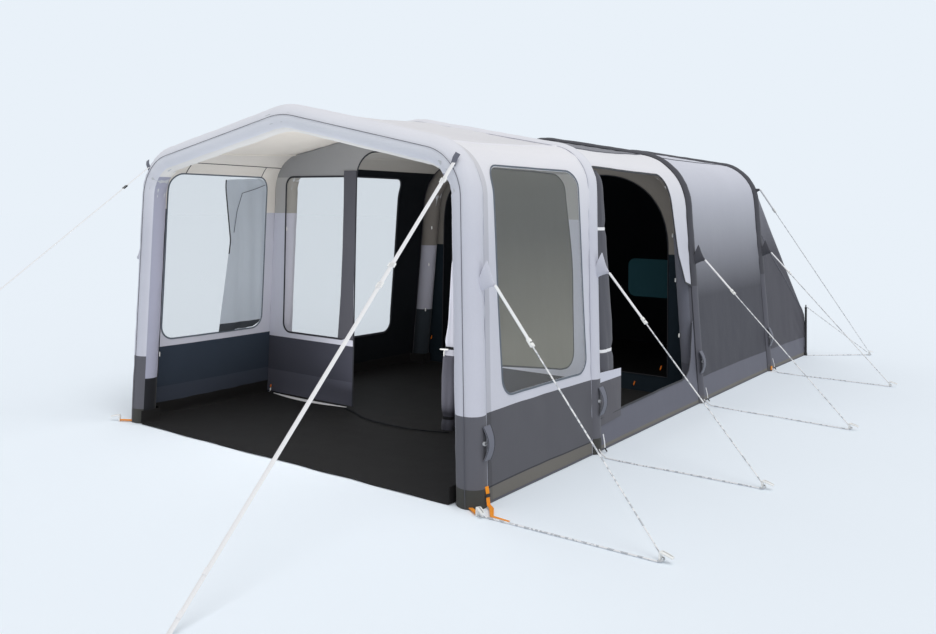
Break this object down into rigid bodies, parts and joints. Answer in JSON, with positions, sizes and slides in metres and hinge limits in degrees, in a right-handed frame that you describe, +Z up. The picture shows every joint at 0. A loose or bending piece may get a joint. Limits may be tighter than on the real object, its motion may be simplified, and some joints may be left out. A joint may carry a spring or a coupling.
{
  "type": "inflatable tunnel tent",
  "caption": "Inflatable family tunnel tent with an open porch, a living space with a side door, a dark inner bedroom and a sloped rear, held out by guylines and pegs.",
  "frame": {"origin": "centre of the tent's footprint on the ground, without its guylines and pegs", "axes": "+X to the right for someone who looks in at the open mouth, +Y from the mouth to the sloped rear, +Z up"},
  "size_m": [4.3353, 8.4448, 2.1172],
  "materials": {
    "light_fabric": "light lavender-grey coated polyester, matte",
    "dark_fabric": "dark grey coated polyester with a soft sheen",
    "door_fabric": "dark grey coated polyester, rolled",
    "inner_fabric": "near-black breathable polyester, matte",
    "floor_fabric": "brown-black woven and coated groundsheet",
    "pane_film": "clear flexible window film, glossy",
    "blind_fabric": "grey-brown blind cloth, matte",
    "tube_film": "smooth grey air-tube film",
    "webbing": "white woven rope and webbing with grey flecks",
    "black_plastic": "black moulded plastic",
    "white_plastic": "off-white moulded plastic",
    "steel": "galvanised steel, dull"
  },
  "bodies": {
    "tent": {"air_tube_1": "tube_film", "air_tube_2": "tube_film", "air_tube_3": "tube_film", "air_tube_4": "tube_film", "bedroom_cover": "dark_fabric", "blind_right_porch": "blind_fabric", "corner_guy": "webbing", "curtain_left_porch": "blind_fabric", "door_header": "light_fabric", "door_roll": "door_fabric", "door_sill": "dark_fabric", "groundsheet_living": "floor_fabric", "groundsheet_porch": "floor_fabric", "guy_1": "webbing", "guy_2": "webbing", "guy_3": "webbing", "guy_4": "webbing", "inner_front": "inner_fabric", "inner_shell": "inner_fabric", "pane_left_living": "pane_film", "pane_left_porch": "pane_film", "pane_partition": "pane_film", "pane_right_porch": "pane_film", "partition": "light_fabric", "partition_roll": "door_fabric", "peg_1": "steel", "peg_2": "steel", "peg_3": "steel", "peg_4": "steel", "peg_front_left": "steel", "peg_front_right": "steel", "peg_rear": "steel", "rear_cover": "dark_fabric", "rear_guy": "webbing", "rear_pole_left": "black_plastic", "rear_pole_right": "black_plastic", "roof_living": "dark_fabric", "roof_porch": "light_fabric", "sleeve_1": "light_fabric", "sleeve_2": "light_fabric", "sleeve_3": "dark_fabric", "sleeve_4": "dark_fabric", "storm_strap_left": "webbing", "storm_strap_right": "webbing", "strap_ring_left": "steel", "strap_ring_right": "steel", "wall_left_living": "dark_fabric", "wall_left_porch": "light_fabric", "wall_right_porch": "light_fabric", "zip_tape": "black_plastic"},
    "flap_1": {"valve_flap_1": "door_fabric"},
    "flap_2": {"valve_flap_2": "door_fabric"},
    "flap_3": {"valve_flap_3": "door_fabric"},
    "flap_4": {"valve_flap_4": "door_fabric"},
    "slider": {"zip_slider": "white_plastic"},
    "tensioner_1": {"tensioner_1": "black_plastic"},
    "tensioner_2": {"tensioner_2": "black_plastic"},
    "tensioner_3": {"tensioner_3": "black_plastic"},
    "tensioner_4": {"tensioner_4": "black_plastic"},
    "buckle": {"storm_buckle": "white_plastic"}
  },
  "joints": [
    {"name": "valve_flap_lift_1", "type": "hinge", "parent": "tent", "child": "flap_1", "pos_m": [1.44349, -2.8788, 0.40012], "axis": [0, -1, 0], "range_deg": [0, 120]},
    {"name": "valve_flap_lift_2", "type": "hinge", "parent": "tent", "child": "flap_2", "pos_m": [1.45147, -1.6488, 0.4001], "axis": [0, -1, 0], "range_deg": [0, 120]},
    {"name": "valve_flap_lift_3", "type": "hinge", "parent": "tent", "child": "flap_3", "pos_m": [1.42776, 0.0912, 0.40025], "axis": [0, -1, 0], "range_deg": [0, 120]},
    {"name": "valve_flap_lift_4", "type": "hinge", "parent": "tent", "child": "flap_4", "pos_m": [1.42969, 1.8512, 0.40028], "axis": [0, -1, 0], "range_deg": [0, 120]},
    {"name": "zip_pull", "type": "slide", "parent": "tent", "child": "slider", "axis": [0.037, 0, 0.9993], "range_m": [-0.13, 0.97]},
    {"name": "tensioner_slide_1", "type": "slide", "parent": "tent", "child": "tensioner_1", "axis": [-0.6434, 0.0447, 0.7642], "range_m": [-0.25, 0.29]},
    {"name": "tensioner_slide_2", "type": "slide", "parent": "tent", "child": "tensioner_2", "axis": [-0.6575, 0.0267, 0.753], "range_m": [-0.25, 0.31]},
    {"name": "tensioner_slide_3", "type": "slide", "parent": "tent", "child": "tensioner_3", "axis": [-0.7046, 0.0978, 0.7028], "range_m": [-0.25, 0.28]},
    {"name": "tensioner_slide_4", "type": "slide", "parent": "tent", "child": "tensioner_4", "axis": [-0.688, 0.0489, 0.7241], "range_m": [-0.25, 0.2]},
    {"name": "buckle_slide", "type": "slide", "parent": "tent", "child": "buckle", "axis": [-0.0193, 0.6974, 0.7165], "range_m": [-0.4, 0.4]}
  ]
}
